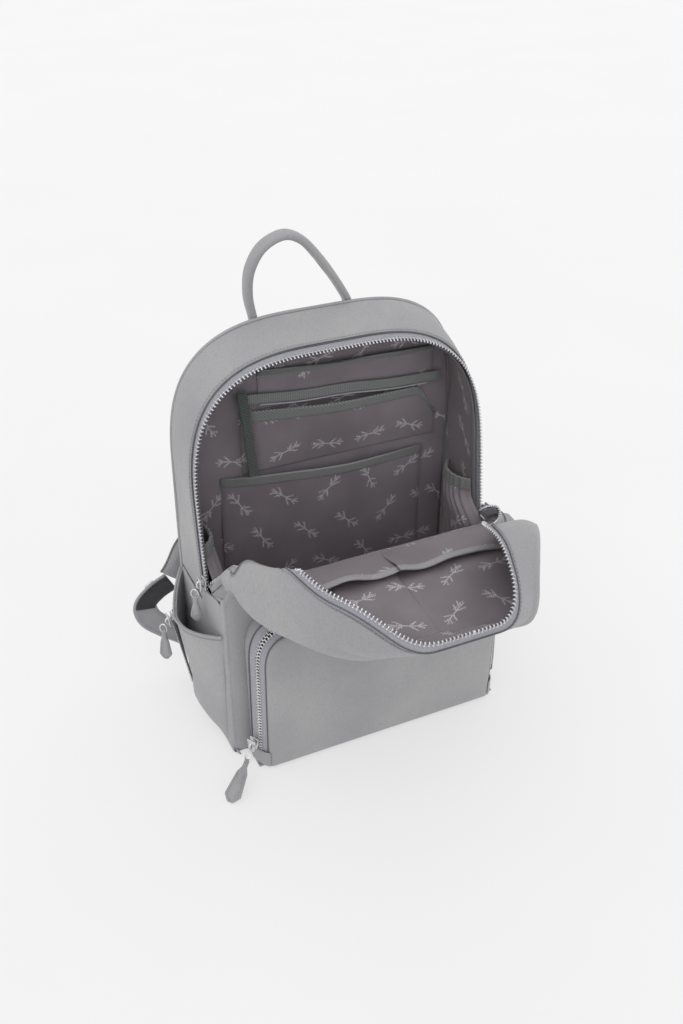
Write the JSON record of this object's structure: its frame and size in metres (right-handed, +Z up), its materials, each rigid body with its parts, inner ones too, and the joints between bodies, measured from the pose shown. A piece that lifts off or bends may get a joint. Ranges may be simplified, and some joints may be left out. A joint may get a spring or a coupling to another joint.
{
  "type": "diaper bag",
  "caption": "Soft backpack diaper bag with a clamshell zip flap folded open, front and side pockets, top handle and shoulder straps.",
  "frame": {"origin": "centre of the base's underside, on the surface it stands on", "axes": "+Z up, -Y to the front (the flap and front pocket), +X to the viewer's right"},
  "size_m": [0.393, 0.3442, 0.4851],
  "materials": {
    "leather": "fine pebbled grain, satin",
    "lining": "fine woven, printed with a small pale sprig",
    "zip_metal": "polished",
    "zip_tape": "twill tape",
    "mesh_binding": "ribbed elastic and mesh",
    "webbing": "woven webbing",
    "board": "matte"
  },
  "bodies": {
    "bag": {"body_gusset": "leather", "body_lining": "lining", "back_panel": "leather", "back_lining": "lining", "base_panel": "leather", "base_board": "board", "lower_front_panel": "leather", "front_lining": "lining", "front_fold": "leather", "body_zip_tape": "zip_tape", "body_zip_teeth": "zip_metal", "front_pocket_gusset": "leather", "front_pocket_zip": "zip_metal", "front_pocket_floor": "leather", "front_zip_end_tab": "leather", "inner_sleeve": "lining", "inner_mesh_pocket": "mesh_binding", "inner_top_pocket": "mesh_binding", "elastic_strap": "mesh_binding", "side_pocket_left": "leather", "side_zip_left": "zip_metal", "elastic_pocket_left": "lining", "strap_anchor_left": "leather", "side_pocket_right": "leather", "side_zip_right": "zip_metal", "elastic_pocket_right": "lining", "strap_anchor_right": "leather"},
    "flap": {"flap_panel": "leather", "flap_lining": "lining", "flap_gusset_tip": "leather", "flap_zip_tip": "zip_metal", "flap_slip_pocket": "lining"},
    "front_lid": {"front_pocket_lid": "leather", "front_pocket_lining": "lining"},
    "front_slider": {"front_slider": "zip_metal"},
    "front_pull": {"front_pull": "leather"},
    "handle": {"top_handle": "leather"},
    "flap_side_left": {"flap_side_left": "leather", "flap_lining_left": "lining", "flap_gusset_left": "leather", "flap_zip_left": "zip_metal"},
    "main_slider_left": {"main_slider_left": "zip_metal"},
    "main_pull_left": {"main_pull_left": "leather"},
    "side_slider_left": {"side_slider_left": "zip_metal"},
    "side_pull_left": {"side_pull_left": "leather"},
    "strap_left": {"shoulder_strap_left": "leather", "strap_webbing_left": "webbing", "strap_adjuster_left": "zip_metal"},
    "flap_side_right": {"flap_side_right": "leather", "flap_lining_right": "lining", "flap_gusset_right": "leather", "flap_zip_right": "zip_metal"},
    "main_slider_right": {"main_slider_right": "zip_metal"},
    "main_pull_right": {"main_pull_right": "leather"},
    "side_slider_right": {"side_slider_right": "zip_metal"},
    "side_pull_right": {"side_pull_right": "leather"},
    "strap_right": {"shoulder_strap_right": "leather", "strap_webbing_right": "webbing", "strap_adjuster_right": "zip_metal"}
  },
  "joints": [
    {"name": "flap_hinge", "type": "hinge", "parent": "bag", "child": "flap", "pos_m": [0, -0.0575, 0.205], "axis": [-1, 0, 0], "range_deg": [0, 100.75]},
    {"name": "front_lid_hinge", "type": "hinge", "parent": "bag", "child": "front_lid", "pos_m": [0, -0.097, 0.004], "axis": [1, 0, 0], "range_deg": [0, 80]},
    {"name": "front_slider_slide", "type": "slide", "parent": "bag", "child": "front_slider", "axis": [0, 0, 1], "range_m": [0, 0.08]},
    {"name": "front_pull_swing", "type": "hinge", "parent": "front_slider", "child": "front_pull", "pos_m": [-0.1432, -0.0933, 0.026], "axis": [-0.6624, 0.7492, 0], "range_deg": [0, 100]},
    {"name": "handle_fold", "type": "hinge", "parent": "bag", "child": "handle", "pos_m": [-0.016, 0.061, 0.4115], "axis": [1, 0, 0], "range_deg": [-60, 60]},
    {"name": "flap_side_left_fold", "type": "hinge", "parent": "flap", "child": "flap_side_left", "pos_m": [-0.145, -0.06774, 0.21165], "axis": [0.5478, -0.8361, -0.0292], "range_deg": [0, 40]},
    {"name": "main_slider_left_slide", "type": "slide", "parent": "bag", "child": "main_slider_left", "axis": [0, 0.1522, 0.9883], "range_m": [0, 0.055]},
    {"name": "main_pull_left_swing", "type": "hinge", "parent": "main_slider_left", "child": "main_pull_left", "pos_m": [-0.1606, -0.01413, 0.1765], "axis": [0, 1, 0], "range_deg": [0, 100]},
    {"name": "side_slider_left_slide", "type": "slide", "parent": "bag", "child": "side_slider_left", "axis": [0.1664, 0, -0.9861], "range_m": [0, 0.07]},
    {"name": "side_pull_left_swing", "type": "hinge", "parent": "side_slider_left", "child": "side_pull_left", "pos_m": [-0.18559, 0.036, 0.10409], "axis": [0, 1, 0], "range_deg": [0, 100]},
    {"name": "strap_left_swing", "type": "hinge", "parent": "bag", "child": "strap_left", "pos_m": [-0.05, 0.0795, 0.368], "axis": [1, 0, 0], "range_deg": [0, 50]},
    {"name": "flap_side_right_fold", "type": "hinge", "parent": "flap", "child": "flap_side_right", "pos_m": [0.145, -0.06774, 0.21165], "axis": [0.5478, 0.8361, 0.0292], "range_deg": [0, 70]},
    {"name": "main_slider_right_slide", "type": "slide", "parent": "bag", "child": "main_slider_right", "axis": [0, 0.1522, 0.9883], "range_m": [0, 0.055]},
    {"name": "main_pull_right_swing", "type": "hinge", "parent": "main_slider_right", "child": "main_pull_right", "pos_m": [0.1606, -0.01413, 0.1765], "axis": [0, -1, 0], "range_deg": [0, 100]},
    {"name": "side_slider_right_slide", "type": "slide", "parent": "bag", "child": "side_slider_right", "axis": [-0.1664, 0, -0.9861], "range_m": [0, 0.07]},
    {"name": "side_pull_right_swing", "type": "hinge", "parent": "side_slider_right", "child": "side_pull_right", "pos_m": [0.18559, 0.036, 0.10409], "axis": [0, -1, 0], "range_deg": [0, 100]},
    {"name": "strap_right_swing", "type": "hinge", "parent": "bag", "child": "strap_right", "pos_m": [0.05, 0.0795, 0.368], "axis": [1, 0, 0], "range_deg": [0, 50]}
  ],
  "couplings": [
    {"joint": "flap_side_left_fold", "follows": "flap_hinge", "ratio": 0.39702},
    {"joint": "flap_side_right_fold", "follows": "flap_hinge", "ratio": 0.69478}
  ]
}
